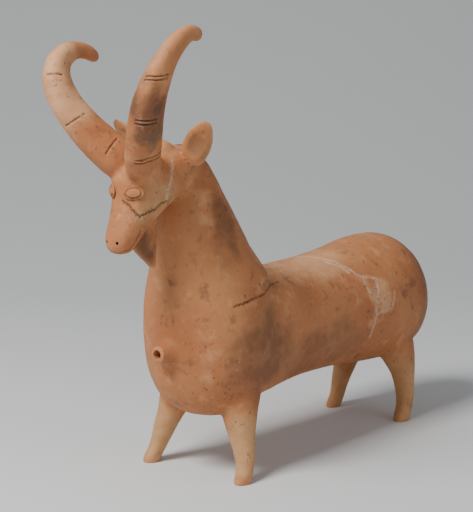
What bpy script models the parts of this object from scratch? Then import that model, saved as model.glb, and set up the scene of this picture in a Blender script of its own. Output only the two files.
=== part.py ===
"""Ibex rhyton: a hollow fired-clay pouring vessel in the shape of a standing ibex.

The barrel and the neck are one empty vessel, filled through a round mouth in the crown of the head and
poured through the small spout in the middle of the chest. Metres, +Z up, the animal facing -Y.
"""

import bmesh
import bpy
from math import copysign, cos, pi, sin
from mathutils import Matrix, Vector

# Driving sizes
HEIGHT = 0.357               # underside of the hooves to the top of the taller horn
WALL = 0.005                 # thickness of the vessel's wall
SPOUT_BORE = 0.0076          # diameter of the hole through the spout
SPOUT_RIM = 0.0026           # width of clay round the spout's hole
FILLING_BORE = 0.014         # diameter of the mouth in the crown
EAR_THICKNESS = 0.005
BEARD_THICKNESS = 0.006
NOSTRIL_BORE = 0.0026
LID_STROKE = 0.0017          # width of the stroke drawn round the eye

# The figure's own unit: its pose and proportions are counted in 357ths of its height
UNIT = HEIGHT / 357
# Middle of the figure's plan in those numbers, which becomes the origin
MIDDLE_X = -2.4
MIDDLE_Y = -25.1

# How the clay is worked up: cage, then one fused skin, then fewer faces
RING_SIDES = 12
RING_SWELL = 3 / (2 + cos(2 * pi / RING_SIDES))   # a subdivided ring shrinks by this much
BODY_VOXEL = 3 * UNIT
BODY_STROKES = 24            # rounds of smoothing of the barrel into the chest
SKIN_VOXEL = 2.2 * UNIT
SKIN_STROKES = 4             # rounds of smoothing where head, horns, legs and spout are put on
SKIN_FACES_KEPT = 0.05
HOLLOW_FACES_KEPT = 0.085

# Barrel, upright rings from inside the chest to the rump: y, centre z, half width, half height
BARREL = (
    (-128, 99, 26, 26),
    (-114, 99, 42, 42),
    (-96, 99.5, 50, 50.5),
    (-72, 102, 51.5, 51),
    (-44, 106, 50.5, 50),
    (-12, 107.5, 48.5, 49),
    (24, 108, 48, 49.5),
    (62, 108, 49.5, 52),
    (96, 109.5, 51, 57),
    (122, 110, 50, 58),
    (144, 107.5, 45, 53.5),
    (161, 103, 36, 44),
    (173, 100, 24, 30),
    (178, 98, 9, 11),
)
# Chest and neck, level rings from the belly to the crown: z, centre y, half width, half length
NECK = (
    (46, -103, 10, 10),
    (48.5, -103, 24, 23),
    (56.5, -104, 37, 35),
    (70, -103.5, 46.5, 43.5),
    (87, -103, 52.5, 48.5),
    (105, -103, 54.5, 50),
    (123, -103.5, 54, 50.5),
    (139, -104.5, 52, 50),
    (153, -106, 48.5, 48.5),
    (166, -107.5, 42.5, 44.5),
    (182, -112.5, 37, 41.5),
    (200, -118, 31.5, 37.5),
    (218, -123, 26, 31.5),
    (236, -126, 21, 24),
    (249, -128.5, 17, 18.5),
    (257, -127, 11, 12),
)
# Head, level rings from the lip to the crown: z, y of the face, y of the jaw or nape, half width
HEAD = (
    (187.5, -207, -199, 5),
    (190, -211.5, -196, 9),
    (197, -213.5, -191, 12),
    (205, -211, -185.5, 13),
    (213, -207, -174, 15),
    (221, -204, -160, 17.5),
    (229, -202.5, -145, 20),
    (237, -202.5, -132, 21.5),
    (244, -202.5, -123, 22.5),
    (250, -198, -118, 21.5),
    (256, -188, -116, 19),
    (261, -172, -114.5, 15.5),
    (264, -156, -116, 12),
)
HEAD_SQUARENESS = 0.8       # 1 is an ellipse, less is squarer

# The four legs, level rings from hoof to shoulder or hip: z, x, y, half width, half length
FRONT_LEFT_LEG = (
    (-3, 48.5, -119, 6, 8),
    (5, 48.5, -117.5, 6.5, 8),
    (13, 47, -113, 7.5, 7.5),
    (22, 44, -111.5, 8.5, 9),
    (32, 40.5, -110, 10, 10),
    (42, 37, -108, 12, 12.5),
    (52, 34.5, -106, 14, 14.5),
    (64, 31, -103, 17, 18),
    (80, 27, -100, 20, 22),
)
FRONT_RIGHT_LEG = (
    (-3, -48, -120, 6.5, 8),
    (5, -47, -118.5, 7, 8),
    (13, -44.5, -115.5, 7.5, 7.5),
    (22, -42.5, -113, 8.5, 9),
    (32, -40, -110.5, 10, 10),
    (42, -36.5, -107, 12, 12.5),
    (52, -34, -104, 14, 14.5),
    (64, -30.5, -102, 17, 18),
    (80, -27, -100, 20, 22),
)
HIND_LEFT_LEG = (
    (-3, 38.5, 115.5, 6.5, 8.5),
    (5, 38.5, 117.5, 7, 8.5),
    (13, 38, 121, 7.5, 8),
    (22, 36.5, 123.5, 8, 8.5),
    (32, 34.5, 124.5, 9, 9.5),
    (42, 32, 125.5, 11, 11),
    (52, 28, 125, 14, 15),
    (64, 25, 123, 17, 19),
    (80, 22, 119, 19, 22),
)
HIND_RIGHT_LEG = (
    (-3, -38, 115.5, 6.5, 8.5),
    (5, -37, 117.5, 6.5, 8),
    (13, -35.5, 119.5, 7, 7.5),
    (22, -34, 120, 8, 8),
    (32, -31.5, 121.5, 9.5, 9.5),
    (42, -29, 122.5, 11, 11.5),
    (52, -27, 123, 14, 15),
    (64, -24, 121, 17, 19),
    (80, -21, 118, 19, 22),
)
LEGS = (FRONT_LEFT_LEG, FRONT_RIGHT_LEG, HIND_LEFT_LEG, HIND_RIGHT_LEG)

# The two horns from inside the brow over the hook to the tip, no two alike: x, y, z, half depth
LEFT_HORN = (
    (7, -176, 246, 11),
    (10.5, -187.5, 252.5, 15.5),
    (16.5, -195.5, 259, 15.5),
    (25, -203, 273.5, 15.5),
    (32.5, -209.5, 287.5, 14.5),
    (38.5, -213, 300, 13.5),
    (44, -214, 311, 12),
    (48, -212.5, 321, 11),
    (50, -209, 330, 9.5),
    (51.5, -203.5, 337.5, 8.5),
    (52, -196.5, 344.5, 8),
    (52.5, -189, 349.5, 7),
    (52.5, -181, 352, 6.5),
    (52.5, -175, 350, 6),
    (52, -172, 346, 3.5),
)
RIGHT_HORN = (
    (-7, -178, 246, 11),
    (-11.5, -189.5, 254.5, 15),
    (-18, -194, 262, 15.5),
    (-28, -201, 273, 14.5),
    (-36, -208.5, 285, 13.5),
    (-42.5, -213.5, 296, 12.5),
    (-48, -216, 307, 12.5),
    (-52, -215.5, 317, 12),
    (-54.5, -212, 325.5, 11),
    (-55.5, -205.5, 332, 9.5),
    (-55, -197.5, 336, 8),
    (-54, -189, 337, 6.5),
    (-52.5, -181, 334.5, 6),
    (-52, -175, 331, 5),
    (-51.5, -172, 328, 3),
)
HORN_THICKNESS = 0.74        # share of the horn's depth

# Crest behind the horns: centre and half sizes
CREST = (0, -160, 259)
CREST_SIZES = (13, 13, 11)
# Left shoulder, a pad that fills the corner between chest and barrel: centre and half sizes
SHOULDER = (31, -60, 118)
SHOULDER_SIZES = (19, 56, 31)

# Spout: y of its root and of its mouth, and its height
SPOUT_ROOT_Y = -136
SPOUT_MOUTH_Y = -164
SPOUT_RIM_LENGTH = 8
SPOUT_Z = 104
SPOUT_ROOT_RADIUS = 21
SPOUT_PROFILE = ((0, 1), (0.4, 0.6), (0.6, 0.3), (0.8, 0.1), (0.95, 0), (1, -0.1))   # way out, flare left
SPOUT_REACH = 10             # how far the spout's bore runs past its two ends
# Mouth in the crown: the line it is pierced along
FILLING_Y = -131
FILLING_TOP_Z = 285
FILLING_FOOT_Z = 226

# Ears, left and right: root and tip; then half width at the widest and the way the left one faces
LEFT_EAR = ((20, -146.5, 254), (48.5, -159, 283.5))
RIGHT_EAR = ((-20, -146.5, 250.5), (-48.5, -158, 279.5))
EAR_HALF_WIDTH = 11.5
EAR_FACING = (0.42, -0.9, 0.1)
EAR_CUP = 0.32
EAR_FULLNESS = -0.28         # above nought it is wider towards the tip, below nought towards the root

# Beard, a blade in the middle plane: points y, z
BEARD = ((-196, 194), (-169, 172), (-166.5, 174), (-164, 198), (-163, 223), (-186, 212))

# Left eye: centre, half length, half height and swell of the mound, and the way it looks
EYE_CENTRE = (11, -199.6, 234)
EYE_HALF_LENGTH = 6.8
EYE_HALF_HEIGHT = 4.2
EYE_SWELL = 3
EYE_FACING = (0.58, -0.8, 0.06)
LID_LINE = 0.74              # where the lid is drawn, as a share of the mound
LID_POINTS = 20
NOSTRIL = (5, -212, 197.5)
NOSTRIL_DEPTH = 5
ROD_SIDES = 20               # sides of the round rods that pierce the clay
NOSTRIL_SIDES = 10
EAR_SIDES = 16
EAR_RINGS = 10


def place(x, y, z):
    """A point of the figure in metres from the origin."""
    return Vector(((x - MIDDLE_X) * UNIT, (y - MIDDLE_Y) * UNIT, z * UNIT))


X, Y, Z = Vector((1, 0, 0)), Vector((0, 1, 0)), Vector((0, 0, 1))


def squared(value, squareness):
    return copysign(abs(value) ** squareness, value)


def add_ring(bm, centre, across, along, half_across, half_along, squareness=1.0):
    """One ring of the cage: an oval about centre, with its axes along the two directions given."""
    turn = 2 * pi / RING_SIDES
    return [
        bm.verts.new(centre
                     + across * half_across * RING_SWELL * squared(cos(turn * (i + 0.5)), squareness)
                     + along * half_along * RING_SWELL * squared(sin(turn * (i + 0.5)), squareness))
        for i in range(RING_SIDES)
    ]


def skin_rings(bm, rings):
    """Faces between one ring and the next, and a cap on both ends."""
    for lower, upper in zip(rings, rings[1:]):
        for i in range(RING_SIDES):
            j = (i + 1) % RING_SIDES
            bm.faces.new((lower[i], lower[j], upper[j], upper[i]))
    bm.faces.new(list(reversed(rings[0])))
    bm.faces.new(rings[-1])


def drawn_in(stations, thinner):
    """The stations with their two ends drawn in by the wall along the form."""
    first, last = stations[0][0], stations[-1][0]
    middle, half = (first + last) / 2, (last - first) / 2
    share = 1 - thinner / UNIT / half
    return [(middle + (way - middle) * share, *rest) for way, *rest in stations]


def add_barrel(bm, thinner=0.0):
    rings = []
    for y, z, half_width, half_height in drawn_in(BARREL, thinner):
        width = max(half_width * UNIT - thinner, UNIT)
        height = max(half_height * UNIT - thinner, UNIT)
        rings.append(add_ring(bm, place(0, y, z), Z, X, height, width))
    skin_rings(bm, rings)


def add_neck(bm, thinner=0.0):
    rings = []
    for z, y, half_width, half_length in drawn_in(NECK, thinner):
        width = max(half_width * UNIT - thinner, UNIT)
        length = max(half_length * UNIT - thinner, UNIT)
        rings.append(add_ring(bm, place(0, y, z), X, Y, width, length))
    skin_rings(bm, rings)


def add_head(bm):
    rings = []
    for z, face, nape, half_width in HEAD:
        centre = place(0, (face + nape) / 2, z)
        half_length = (nape - face) / 2
        rings.append(add_ring(bm, centre, X, Y, half_width * UNIT, half_length * UNIT, HEAD_SQUARENESS))
    skin_rings(bm, rings)


def add_leg(bm, stations):
    rings = [
        add_ring(bm, place(x, y, z), X, Y, half_width * UNIT, half_length * UNIT)
        for z, x, y, half_width, half_length in stations
    ]
    skin_rings(bm, rings)


def add_horn(bm, line):
    """Oval rings square to the horn's line, deeper along its curve than across it."""
    points = [place(x, y, z) for x, y, z, half_depth in line]
    rings = []
    for i, point in enumerate(points):
        tangent = (points[min(i + 1, len(points) - 1)] - points[max(i - 1, 0)]).normalized()
        across = (X - tangent * tangent.dot(X)).normalized()
        depth_way = tangent.cross(across)
        half_depth = line[i][3] * UNIT
        rings.append(add_ring(bm, point, across, depth_way, half_depth * HORN_THICKNESS, half_depth))
    skin_rings(bm, rings)


def add_spout(bm):
    mouth_radius = SPOUT_BORE / 2 + SPOUT_RIM
    rings = []
    for share, flare in SPOUT_PROFILE:
        y = SPOUT_ROOT_Y + (SPOUT_MOUTH_Y - SPOUT_ROOT_Y) * share
        radius = mouth_radius + (SPOUT_ROOT_RADIUS * UNIT - mouth_radius) * flare
        rings.append(add_ring(bm, place(0, y, SPOUT_Z), X, Z, radius, radius))
    skin_rings(bm, rings)


def eye_frame(side):
    """Centre of an eye, then the ways it runs along, up and out."""
    centre = place(side * EYE_CENTRE[0], *EYE_CENTRE[1:])
    out = Vector((side * EYE_FACING[0], *EYE_FACING[1:])).normalized()
    along = Z.cross(out).normalized()
    return centre, along, out.cross(along), out


def add_pad(bm, centre, along, up, out):
    """A pad of clay: a ball stretched to three half sizes, given as vectors."""
    made = bmesh.ops.create_icosphere(bm, subdivisions=2, radius=1)
    for vert in made["verts"]:
        u, v, w = vert.co
        vert.co = centre + along * u + up * v + out * w


def add_level_pad(bm, centre, sizes):
    width, length, height = sizes
    add_pad(bm, place(*centre), X * width * UNIT, Y * length * UNIT, Z * height * UNIT)


def add_shoulder(bm, side):
    x, y, z = SHOULDER
    add_level_pad(bm, (side * x, y, z), SHOULDER_SIZES)


def add_crest(bm):
    add_level_pad(bm, CREST, CREST_SIZES)


def mesh_of(name, *makers):
    """A mesh of the cages that the makers add, with every face pointing out."""
    bm = bmesh.new()
    for make in makers:
        make(bm)
    bmesh.ops.recalc_face_normals(bm, faces=bm.faces)
    mesh = bpy.data.meshes.new(name)
    bm.to_mesh(mesh)
    bm.free()
    return mesh


def joined(name, *meshes):
    bm = bmesh.new()
    for mesh in meshes:
        bm.from_mesh(mesh)
    whole = bpy.data.meshes.new(name)
    bm.to_mesh(whole)
    bm.free()
    return whole


def new_object(name, content, collection):
    made = bpy.data.objects.new(name, content)
    collection.objects.link(made)
    return made


def as_cutter(thing):
    thing.hide_render = True
    thing.display_type = "WIRE"
    return thing


def settled(thing):
    """The object's mesh as its modifiers leave it, in place of the object."""
    bpy.context.view_layer.update()
    mesh = bpy.data.meshes.new_from_object(thing.evaluated_get(bpy.context.evaluated_depsgraph_get()))
    mesh.transform(thing.matrix_world)
    bpy.data.objects.remove(thing)
    return mesh


def round_cage(thing):
    modifier = thing.modifiers.new("Round the cage", "SUBSURF")
    modifier.levels = 2
    modifier.render_levels = 2


def fuse(thing, voxel):
    modifier = thing.modifiers.new("Fuse the clay", "REMESH")
    modifier.mode = "VOXEL"
    modifier.voxel_size = voxel
    modifier.use_smooth_shade = True


def stroke(thing, rounds):
    modifier = thing.modifiers.new("Stroke the joins", "SMOOTH")
    modifier.factor = 0.5
    modifier.iterations = rounds


def keep_faces(thing, share):
    modifier = thing.modifiers.new("Fewer faces", "DECIMATE")
    modifier.ratio = share


def boolean(thing, other, operation):
    modifier = thing.modifiers.new(other.name, "BOOLEAN")
    modifier.operation = operation
    modifier.solver = "EXACT"
    modifier.object = other


def make_body(collection):
    """Barrel and chest with the neck, stroked until they run into each other."""
    shoulders = [lambda bm, side=side: add_shoulder(bm, side) for side in (1, -1)]
    body = new_object("body", mesh_of("body", add_barrel, add_neck, *shoulders), collection)
    round_cage(body)
    fuse(body, BODY_VOXEL)
    stroke(body, BODY_STROKES)
    return settled(body)


def make_limbs(collection):
    """Head, horns, legs and spout before they are put on."""
    makers = [add_head, add_crest, add_spout]
    makers += [lambda bm, leg=leg: add_leg(bm, leg) for leg in LEGS]
    makers += [lambda bm, horn=horn: add_horn(bm, horn) for horn in (LEFT_HORN, RIGHT_HORN)]
    limbs = new_object("limbs", mesh_of("limbs", *makers), collection)
    round_cage(limbs)
    return settled(limbs)


def make_figure(collection):
    """The whole animal in one skin."""
    whole = joined("ibex_rhyton", make_body(collection), make_limbs(collection))
    figure = new_object("ibex_rhyton", whole, collection)
    fuse(figure, SKIN_VOXEL)
    stroke(figure, SKIN_STROKES)
    keep_faces(figure, SKIN_FACES_KEPT)
    return figure


def make_eye(side, collection):
    centre, along, up, out = eye_frame(side)
    sizes = along * EYE_HALF_LENGTH * UNIT, up * EYE_HALF_HEIGHT * UNIT, out * EYE_SWELL * UNIT
    name = "left_eye" if side > 0 else "right_eye"
    mesh = mesh_of(name, lambda bm: add_pad(bm, centre, *sizes))
    return as_cutter(new_object(name, mesh, collection))


def make_ear(side, collection):
    """A cupped leaf of clay."""
    root, tip = [place(*point) for point in (LEFT_EAR if side > 0 else RIGHT_EAR)]
    half_length = (tip - root).length / 2
    half_width = EAR_HALF_WIDTH * UNIT
    long_way = (tip - root).normalized()
    facing = Vector((side * EAR_FACING[0], *EAR_FACING[1:]))
    facing = (facing - long_way * facing.dot(long_way)).normalized()
    across = long_way.cross(facing)
    bm = bmesh.new()
    bmesh.ops.create_uvsphere(bm, u_segments=EAR_SIDES, v_segments=EAR_RINGS, radius=1)
    for vert in bm.verts:
        u, v, w = vert.co
        cup = EAR_CUP * u * u * half_width
        vert.co = ((root + tip) / 2
                   + across * u * half_width * (1 + EAR_FULLNESS * w)
                   + facing * (v * EAR_THICKNESS / 2 + cup)
                   + long_way * w * half_length)
    bmesh.ops.recalc_face_normals(bm, faces=bm.faces)
    mesh = bpy.data.meshes.new("ear")
    bm.to_mesh(mesh)
    bm.free()
    return as_cutter(new_object("left_ear" if side > 0 else "right_ear", mesh, collection))


def curve_object(name, points, collection):
    """A closed line through the points, each a vector."""
    curve = bpy.data.curves.new(name, "CURVE")
    curve.dimensions = "3D"
    spline = curve.splines.new("POLY")
    spline.points.add(len(points) - 1)
    for knot, point in zip(spline.points, points):
        knot.co = (*point, 1)
    spline.use_cyclic_u = True
    return new_object(name, curve, collection)


def make_beard(collection):
    """A pointed blade of clay from the chin to the throat."""
    outline = curve_object("beard", [place(0, y, z).yzx for y, z in BEARD], collection)
    outline.data.dimensions = "2D"
    outline.data.fill_mode = "BOTH"
    outline.data.extrude = BEARD_THICKNESS / 2
    outline.matrix_world = Matrix(((0, 0, 1, 0), (1, 0, 0, 0), (0, 1, 0, 0), (0, 0, 0, 1)))
    bm = bmesh.new()
    bm.from_mesh(settled(outline))
    bmesh.ops.remove_doubles(bm, verts=bm.verts, dist=1e-5)
    bmesh.ops.recalc_face_normals(bm, faces=bm.faces)
    mesh = bpy.data.meshes.new("beard")
    bm.to_mesh(mesh)
    bm.free()
    return as_cutter(new_object("beard", mesh, collection))


def make_lid(side, collection):
    """The stroke drawn round the eye, to be cut out of the mound."""
    centre, along, up, out = eye_frame(side)
    lift = EYE_SWELL * UNIT * (1 - LID_LINE ** 2) ** 0.5
    points = []
    for i in range(LID_POINTS):
        angle = 2 * pi * i / LID_POINTS
        points.append(centre + out * lift
                      + along * cos(angle) * EYE_HALF_LENGTH * LID_LINE * UNIT
                      + up * sin(angle) * EYE_HALF_HEIGHT * LID_LINE * UNIT)
    line = curve_object("lid", points, collection)
    line.data.bevel_depth = LID_STROKE / 2
    line.data.bevel_resolution = 1
    return as_cutter(new_object("left_lid" if side > 0 else "right_lid", settled(line), collection))


def rod(name, start, end, radius, sides, collection):
    """A round rod between two points."""
    way = end - start
    length = way.length
    bm = bmesh.new()
    bmesh.ops.create_cone(bm, cap_ends=True, segments=sides, radius1=radius, radius2=radius, depth=length)
    turn = way.to_track_quat("Z", "Y").to_matrix().to_4x4()
    bmesh.ops.transform(bm, matrix=Matrix.Translation((start + end) / 2) @ turn, verts=bm.verts)
    mesh = bpy.data.meshes.new(name)
    bm.to_mesh(mesh)
    bm.free()
    return as_cutter(new_object(name, mesh, collection))


def make_hollow(collection):
    """The empty inside: barrel and neck thinner by the wall."""
    mesh = mesh_of("hollow", lambda bm: add_barrel(bm, WALL), lambda bm: add_neck(bm, WALL))
    hollow = new_object("hollow", mesh, collection)
    round_cage(hollow)
    fuse(hollow, BODY_VOXEL)
    stroke(hollow, BODY_STROKES)
    keep_faces(hollow, HOLLOW_FACES_KEPT)
    return as_cutter(hollow)


def make_floor(collection):
    """A block under the hooves that trims them level."""
    bm = bmesh.new()
    bmesh.ops.create_cube(bm, size=2 * HEIGHT)
    bmesh.ops.translate(bm, verts=bm.verts, vec=-Z * HEIGHT)
    mesh = bpy.data.meshes.new("floor")
    bm.to_mesh(mesh)
    bm.free()
    return as_cutter(new_object("floor", mesh, collection))


def clay():
    material = bpy.data.materials.new("terracotta")
    material.use_nodes = True
    shader = material.node_tree.nodes["Principled BSDF"]
    shader.inputs["Base Color"].default_value = (0.52, 0.24, 0.11, 1)
    shader.inputs["Roughness"].default_value = 0.72
    return material


def main():
    for old in list(bpy.data.objects):
        bpy.data.objects.remove(old)
    parts = bpy.data.collections.new("Ibex rhyton")
    cutters = bpy.data.collections.new("Cutters")
    for collection in (parts, cutters):
        bpy.context.scene.collection.children.link(collection)

    figure = make_figure(parts)
    for side in (1, -1):
        boolean(figure, make_ear(side, cutters), "UNION")
        boolean(figure, make_eye(side, cutters), "UNION")
    boolean(figure, make_beard(cutters), "UNION")
    rim_ends = [place(0, y, SPOUT_Z) for y in (SPOUT_MOUTH_Y, SPOUT_MOUTH_Y + SPOUT_RIM_LENGTH)]
    boolean(figure, rod("spout_rim", *rim_ends, SPOUT_BORE / 2 + SPOUT_RIM, ROD_SIDES, cutters), "UNION")
    boolean(figure, make_floor(cutters), "DIFFERENCE")
    boolean(figure, make_hollow(cutters), "DIFFERENCE")
    spout_ends = [place(0, y, SPOUT_Z) for y in (SPOUT_MOUTH_Y - SPOUT_REACH, SPOUT_ROOT_Y + SPOUT_REACH)]
    boolean(figure, rod("spout_bore", *spout_ends, SPOUT_BORE / 2, ROD_SIDES, cutters), "DIFFERENCE")
    crown_ends = [place(0, FILLING_Y, z) for z in (FILLING_TOP_Z, FILLING_FOOT_Z)]
    boolean(figure, rod("filling_bore", *crown_ends, FILLING_BORE / 2, ROD_SIDES, cutters), "DIFFERENCE")
    for side in (1, -1):
        boolean(figure, make_lid(side, cutters), "DIFFERENCE")
        x, y, z = NOSTRIL
        nostril_ends = [place(side * x, y + reach, z) for reach in (-NOSTRIL_DEPTH, NOSTRIL_DEPTH)]
        name = "left_nostril" if side > 0 else "right_nostril"
        boolean(figure, rod(name, *nostril_ends, NOSTRIL_BORE / 2, NOSTRIL_SIDES, cutters), "DIFFERENCE")
    figure.data.materials.append(clay())


main()
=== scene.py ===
"""Ibex rhyton: the looks of a fired-clay pouring vessel in the shape of a standing ibex.

Laid out as an add-on. The vessel is worked up from oval rings as by hand, fused, stroked, scored and cut,
and stands for the plain solid ibex_rhyton. Lengths are metres; the animal faces -Y and its left is +X.
"""

from math import cos, pi, sin

import bmesh
import bpy
import numpy as np
from bpy.props import FloatProperty, FloatVectorProperty, PointerProperty
from mathutils import Euler, Matrix, Vector


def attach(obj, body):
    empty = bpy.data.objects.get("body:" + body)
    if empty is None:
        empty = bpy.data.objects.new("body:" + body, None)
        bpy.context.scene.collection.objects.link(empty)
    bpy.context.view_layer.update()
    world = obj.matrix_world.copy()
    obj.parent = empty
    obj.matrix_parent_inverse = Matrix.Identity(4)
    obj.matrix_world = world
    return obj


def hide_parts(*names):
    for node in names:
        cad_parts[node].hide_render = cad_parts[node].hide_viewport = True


bl_info = {
    "name": "Ibex Rhyton",
    "version": (1, 0, 0),
    "blender": (4, 5, 0),
    "location": "View3D > Sidebar > Rhyton",
    "description": "Models a terracotta pouring vessel in the shape of an ibex",
    "category": "Object",
}

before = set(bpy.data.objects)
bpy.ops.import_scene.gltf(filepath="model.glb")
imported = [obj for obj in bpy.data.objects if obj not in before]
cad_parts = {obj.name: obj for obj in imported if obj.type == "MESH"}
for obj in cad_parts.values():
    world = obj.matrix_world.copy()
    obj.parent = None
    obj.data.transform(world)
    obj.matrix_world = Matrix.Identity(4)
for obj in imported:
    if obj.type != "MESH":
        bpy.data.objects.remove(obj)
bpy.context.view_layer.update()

X, Z = Vector((1, 0, 0)), Vector((0, 0, 1))
NOTHING = (0.0, 0.0, 0.0)

# The pose and proportions are counted in 357ths of the height, about a middle that becomes the origin
HEIGHT_UNITS = 357
MIDDLE_X = -2.4
MIDDLE_Y = -25.1
RING_SIDES = 12
RING_SWELL = 3 / (2 + cos(2 * pi / RING_SIDES))   # a subdivided ring shrinks by this much

# How the clay is worked up: voxels in the figure's units, rounds of smoothing and shares of the faces kept
BODY_VOXEL = 3
BODY_STROKES = 24
FORM_VOXEL = 1.5
FORM_STROKES = 8
SKIN_VOXEL = 1.15
SKIN_STROKES = 2
SKIN_FACES_KEPT = 0.34
HOLLOW_FACES_KEPT = 0.2
LINE_REACH = 0.0022          # how far from a line the faces are made finer
LINE_CUTS = 2
ROD_SIDES = 24
LINE_STEPS = 15              # cuts between two points of a line
CRACK_WANDER = 0.0006
MEND_WANDER = 0.0005
PRESS_STEPS = (0.85, 0.55, 0.3)   # how far from the line each pressing reaches, as shares of its width
PRESS_DEPTH = 0.28           # depth of one pressing, as a share of the line's width
WELD = 0.000002
SMOOTH_ANGLE = 0.6

# What the hand leaves: name, size of the dents in metres and their depth in the figure's units
HAND_MARKS = (("palm", 0.035, 0.9), ("fingers", 0.012, 0.45))
# How far the painted shade of a crack and of a drawn line, and the chalk of a mended join, spread into the
# clay
CRACK_SPREAD = 0.0009
MEND_SPREAD = 0.0009
DRAWN_SPREAD = 0.0007

# Barrel, upright rings from inside the chest to the rump: y, centre z, half width, half height
BARREL = (
    (-128, 99, 26, 26), (-114, 99, 42, 42), (-96, 99.5, 50, 50.5), (-72, 102, 51.5, 51),
    (-44, 106, 50.5, 50), (-12, 107.5, 48.5, 49), (24, 108, 48, 49.5), (62, 108, 49.5, 52),
    (96, 109.5, 51, 57), (122, 110, 50, 58), (144, 107.5, 45, 53.5), (161, 103, 36, 44),
    (173, 100, 24, 30), (178, 98, 9, 11),
)
# Chest and neck, level rings from the belly to the crown: z, centre y, half width, half length
NECK = (
    (46, -103, 10, 10), (48.5, -103, 24, 23), (56.5, -104, 37, 35), (70, -103.5, 46.5, 43.5),
    (87, -103, 52.5, 48.5), (105, -103, 54.5, 50), (123, -103.5, 54, 50.5), (139, -104.5, 52, 50),
    (153, -106, 48.5, 48.5), (166, -107.5, 42.5, 44.5), (182, -112.5, 37, 41.5), (200, -118, 31.5, 37.5),
    (218, -123, 26, 31.5), (236, -126, 21, 24), (249, -128.5, 17, 18.5), (257, -127, 11, 12),
)
# Head, level rings from the lip to the crown: z, y of the face, y of the jaw or nape, half width
HEAD = (
    (187.5, -207, -199, 5), (190, -211.5, -194.5, 9), (197, -213.5, -188.5, 12), (205, -211, -182, 13.5),
    (213, -207, -171.5, 15), (221, -204, -160, 17.5), (229, -202.5, -145, 20), (237, -202.5, -132, 21.5),
    (244, -202.5, -123, 22.5), (250, -198, -118, 21.5), (256, -188, -116, 19), (261, -172, -114.5, 15.5),
    (264, -156, -116, 12),
)
# The four legs, level rings from hoof to shoulder or hip: z, x, y, half width, half length
LEGS = (
    ((-3, 48.5, -120, 6, 8.5), (4, 48.5, -119, 6.5, 9), (12, 47, -113.5, 7, 7.5), (22, 44, -111.5, 8.5, 9),
     (32, 40.5, -110, 10, 10), (42, 37, -108, 12, 12.5), (52, 34.5, -106, 14, 14.5), (64, 31, -103, 17, 18),
     (80, 27, -100, 20, 22)),
    ((-3, -48, -121, 6, 8.5), (4, -47.5, -120, 7, 9), (12, -45, -115.5, 7, 7.5), (22, -42.5, -113, 8.5, 9),
     (32, -40, -110.5, 10, 10), (42, -36.5, -107, 12, 12.5), (52, -34, -104, 14, 14.5),
     (64, -30.5, -102, 17, 18),
     (80, -27, -100, 20, 22)),
    ((-3, 38.5, 114.5, 6.5, 9), (4, 38.5, 116, 7, 9.5), (12, 38, 120.5, 7, 8), (22, 36.5, 123.5, 8, 8.5),
     (32, 34.5, 124.5, 9, 9.5), (42, 32, 125.5, 11, 11), (52, 28, 125, 14, 15), (64, 25, 123, 17, 19),
     (80, 22, 119, 19, 22)),
    ((-3, -38, 114.5, 6.5, 9), (4, -37, 116, 6.5, 9), (12, -35.5, 119.5, 6.5, 7.5), (22, -34, 120, 8, 8),
     (32, -31.5, 121.5, 9.5, 9.5), (42, -29, 122.5, 11, 11.5), (52, -27, 123, 14, 15), (64, -24, 121, 17, 19),
     (80, -21, 118, 19, 22)),
)
# The two horns from inside the brow over the hook to the tip, no two alike: x, y, z, half depth
HORNS = (
    ((7, -176, 246, 11), (10.5, -187.5, 252.5, 15.5), (16.5, -195.5, 259, 15.5), (25, -203, 273.5, 15.5),
     (32.5, -209.5, 287.5, 14.5), (38.5, -213, 300, 13.5), (44, -214, 311, 12), (48, -212.5, 321, 11),
     (50, -209, 330, 9.5), (51.5, -203.5, 337.5, 8.5), (52, -196.5, 344.5, 8), (52.5, -189, 349.5, 7),
     (52.5, -181, 352, 6.5), (52.5, -175, 350, 6), (52, -172, 346, 3.5)),
    ((-7, -178, 246, 11), (-11.5, -189.5, 254.5, 15), (-18, -194, 262, 15.5), (-28, -201, 273, 14.5),
     (-36, -208.5, 285, 13.5), (-42.5, -213.5, 296, 12.5), (-48, -216, 307, 12.5), (-52, -215.5, 317, 12),
     (-54.5, -212, 325.5, 11), (-55.5, -205.5, 332, 9.5), (-55, -197.5, 336, 8), (-54, -189, 337, 6.5),
     (-52.5, -181, 334.5, 6), (-52, -175, 331, 5), (-51.5, -172, 328, 3)),
)
HORN_THICKNESS = 0.74        # share of the horn's depth
HORN_SQUARENESS = 0.78       # 1 is an oval, less is squarer
HEAD_SQUARENESS = 0.8

# Pads of clay that are levelled into the body: centre and half sizes, the shoulder's for the left side
SHOULDER = (31, -60, 118)
SHOULDER_SIZES = (19, 56, 31)
CREST = (0, -160, 259)
CREST_SIZES = (13, 13, 11)

# Spout: how far out each ring lies and how much of the root's flare is left there
SPOUT_PROFILE = ((0, 1), (0.4, 0.6), (0.6, 0.3), (0.8, 0.1), (0.95, 0), (1, -0.1))
SPOUT_Z = 104
SPOUT_ROOT_Y = -136
SPOUT_MOUTH_Y = -164
SPOUT_ROOT_RADIUS = 21
RIM_SHARE = 0.3              # length of the rim as a share of the spout
BORE_ENDS = (-0.4, 1.4)      # where the bore starts and stops, counted from the mouth to the root

# Mouth in the crown: the line it is pierced along, from the top down
FILLING_TOP = (0, -131, 285)
FILLING_FOOT = (0, -131, 226)

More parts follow.
